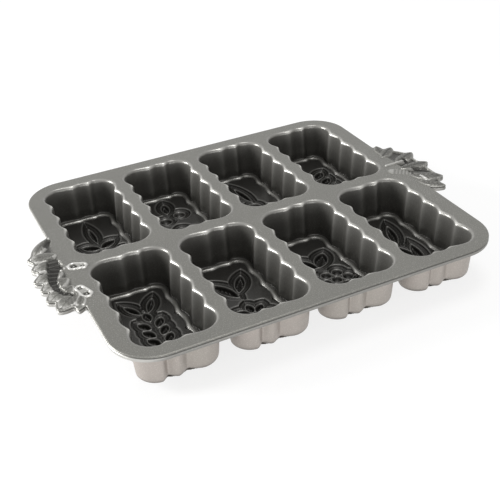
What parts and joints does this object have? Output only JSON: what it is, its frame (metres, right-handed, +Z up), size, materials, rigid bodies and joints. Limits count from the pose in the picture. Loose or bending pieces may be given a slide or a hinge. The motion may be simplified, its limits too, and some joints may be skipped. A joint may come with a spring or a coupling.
{
  "type": "mini loaf pan",
  "caption": "Cast aluminium baking pan: a flat deck with rows of lobed loaf wells, sunk figures in their floors and a leaf-edged lug at each end.",
  "frame": {"origin": "centre of the pan's footprint, on the surface that it stands on", "axes": "+X runs along the pan from the left handle to the right one, +Y from the front edge to the back edge, +Z up"},
  "size_m": [0.386, 0.291, 0.0452],
  "materials": {
    "deck": "satin grey coating on the casting",
    "cup": "satin grey coating inside, paler cast metal outside",
    "floor": "satin grey coating inside, paler cast metal outside",
    "relief": "satin, rubbed bright on its edges"
  },
  "bodies": {
    "root": {"deck_plate": "deck", "rim_band": "deck", "deck_tendrils": "relief", "front_cup_1": "cup", "front_cup_2": "cup", "front_cup_3": "cup", "front_cup_4": "cup", "back_cup_1": "cup", "back_cup_2": "cup", "back_cup_3": "cup", "back_cup_4": "cup", "front_floor_1": "floor", "front_floor_2": "floor", "front_floor_3": "floor", "front_floor_4": "floor", "back_floor_1": "floor", "back_floor_2": "floor", "back_floor_3": "floor", "back_floor_4": "floor", "left_handle_lug": "deck", "left_handle_leaves": "relief", "right_handle_lug": "deck", "right_handle_leaves": "relief"}
  },
  "joints": []
}
